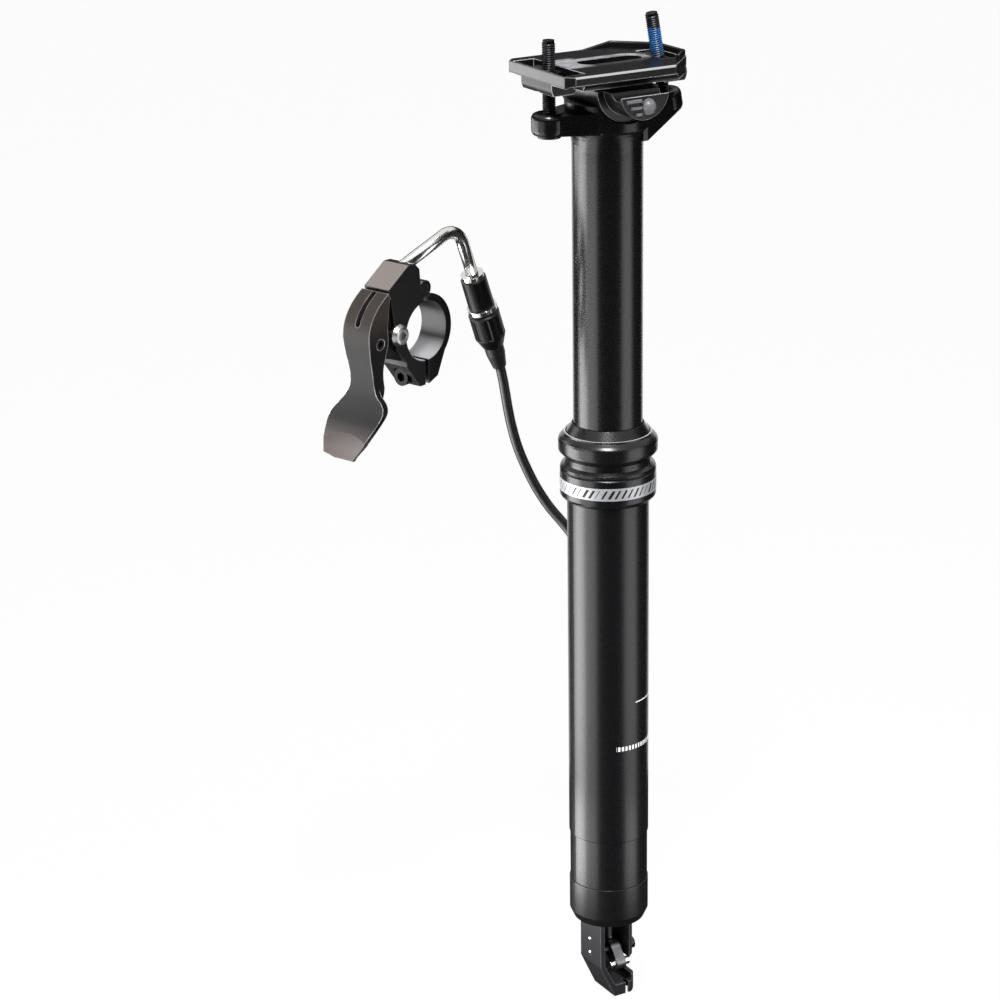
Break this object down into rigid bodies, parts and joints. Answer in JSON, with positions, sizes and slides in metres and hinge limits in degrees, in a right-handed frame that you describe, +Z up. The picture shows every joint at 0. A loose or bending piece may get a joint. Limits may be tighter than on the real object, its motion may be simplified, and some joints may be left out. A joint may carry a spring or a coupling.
{
  "type": "dropper seatpost",
  "caption": "Telescoping bicycle seatpost with a two-bolt saddle clamp, collar seal, cable release under its foot and a handlebar thumb lever on its cable.",
  "frame": {"origin": "on the post axis at the collar's underside, where the post enters the bicycle's seat tube", "axes": "+Z up along the post, +X to the front of the bicycle, +Y to its left"},
  "size_m": [0.1433, 0.095, 0.3891],
  "materials": {
    "black_satin": "satin anodised",
    "black_gloss": "glossy anodised",
    "grey_satin": "satin anodised",
    "steel_bright": "polished",
    "steel_dark": "blackened",
    "rubber_black": "matt",
    "foam": "oiled open cell",
    "polymer": "natural",
    "brass": "machined",
    "housing": "satin jacket"
  },
  "bodies": {
    "frame_side": {"outer_tube": "black_satin", "collar_nut": "black_gloss", "wiper_seal": "rubber_black", "foam_ring": "foam", "upper_bushing": "polymer", "end_cap": "black_satin", "piston_rod": "steel_bright", "piston": "grey_satin", "rod_nut": "steel_bright", "actuator_bracket": "grey_satin", "stop_pins": "steel_bright", "cam_pivot_pin": "steel_dark", "remote_bracket": "black_satin", "clamp_band": "black_satin", "hinge_pin": "steel_bright", "pinch_bolt": "steel_bright", "bracket_screw": "steel_bright", "lever_pivot_pin": "steel_dark", "cable_noodle": "steel_bright", "adjuster_sleeve": "rubber_black", "cable_housing": "housing", "housing_hank": "housing", "hank_tie": "rubber_black", "end_ferrule": "steel_bright", "cable_tail": "steel_bright"},
    "sliding_post": {"stanchion": "black_gloss", "lower_bushing": "polymer", "guide_keys": "brass", "cartridge_tube": "grey_satin", "cartridge_head": "grey_satin", "front_clamp_bolt": "steel_dark", "rear_clamp_bolt": "steel_dark", "bolt_washers": "steel_bright"},
    "saddle_clamp": {"rail_cradle": "black_satin", "clamp_plate": "grey_satin"},
    "front_nut": {"front_barrel_nut": "steel_dark"},
    "rear_nut": {"rear_barrel_nut": "steel_dark"},
    "lever": {"remote_lever": "grey_satin", "cable_anchor": "steel_bright"},
    "cam": {"actuator_cam": "steel_bright", "cable_barrel": "steel_bright"},
    "release_pin": {"valve_pin": "steel_bright"},
    "adjuster": {"barrel_adjuster": "black_gloss", "adjuster_ring": "steel_bright"}
  },
  "joints": [
    {"name": "post_drop", "type": "slide", "parent": "frame_side", "child": "sliding_post", "axis": [0, 0, -1], "range_m": [0, 0.1], "stiffness_N_per_m": 500, "springref_m": -0.3},
    {"name": "saddle_tilt", "type": "hinge", "parent": "sliding_post", "child": "saddle_clamp", "pos_m": [0, 0, 0.158], "axis": [0, 1, 0], "range_deg": [-8, 8]},
    {"name": "front_nut_slide", "type": "slide", "parent": "sliding_post", "child": "front_nut", "axis": [0, 0, 1], "range_m": [-0.0036, 0.0036]},
    {"name": "rear_nut_slide", "type": "slide", "parent": "sliding_post", "child": "rear_nut", "axis": [0.1736, 0, 0.9848], "range_m": [-0.0036, 0.0036]},
    {"name": "remote_lever_push", "type": "hinge", "parent": "frame_side", "child": "lever", "pos_m": [0.08577, -0.02711, 0.0675], "axis": [-0.342, 0.9397, 0], "range_deg": [0, 22], "stiffness_Nm_per_rad": 0.6, "springref_deg": -14.32},
    {"name": "adjuster_turn", "type": "hinge", "parent": "frame_side", "child": "adjuster", "pos_m": [0.03001, -0.04741, 0.07919], "axis": [-0.3398, -0.1237, -0.9323], "range_deg": [-360, 360]},
    {"name": "cam_turn", "type": "hinge", "parent": "frame_side", "child": "cam", "pos_m": [0, 0.0025, -0.189], "axis": [-1, 0, 0], "range_deg": [0, 14], "stiffness_Nm_per_rad": 0.3, "springref_deg": -11.46},
    {"name": "valve_pin_slide", "type": "slide", "parent": "frame_side", "child": "release_pin", "axis": [0, 0, 1], "range_m": [0, 0.001], "stiffness_N_per_m": 20, "springref_m": -0.005}
  ],
  "couplings": [
    {"joint": "front_nut_slide", "follows": "saddle_tilt", "m_per_rad": -0.0245},
    {"joint": "rear_nut_slide", "follows": "saddle_tilt", "m_per_rad": 0.0227}
  ]
}
